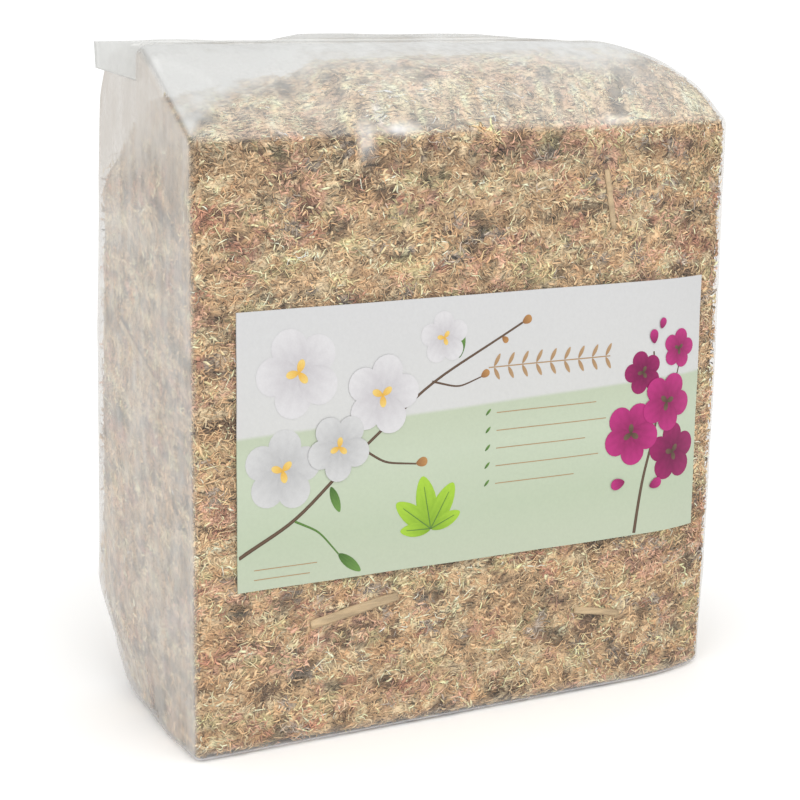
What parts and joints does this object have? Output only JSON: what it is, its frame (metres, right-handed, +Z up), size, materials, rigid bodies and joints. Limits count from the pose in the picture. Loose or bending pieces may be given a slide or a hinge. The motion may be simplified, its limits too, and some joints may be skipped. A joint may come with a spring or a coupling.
{
  "type": "bagged sphagnum moss block",
  "caption": "Pressed block of dried long-fibre sphagnum moss, standing upright in a sealed clear film bag with a wide paper label on its front",
  "frame": {"origin": "middle of the flat base that the bag stands on", "axes": "+X along the front to its right, -Y out of the labelled front, +Z up"},
  "size_m": [0.308, 0.1185, 0.319],
  "materials": {
    "moss": "matted dry fibre",
    "straw": "dry stalk",
    "clear_film": "thin clear plastic film, a little milky",
    "label_paper": "coated printed paper"
  },
  "bodies": {
    "root": {"moss_block": "moss", "straw_stalk_1": "straw", "straw_stalk_2": "straw", "straw_stalk_3": "straw", "straw_stalk_4": "straw", "straw_stalk_5": "straw", "bag_film": "clear_film", "bag_label": "label_paper"}
  },
  "joints": []
}
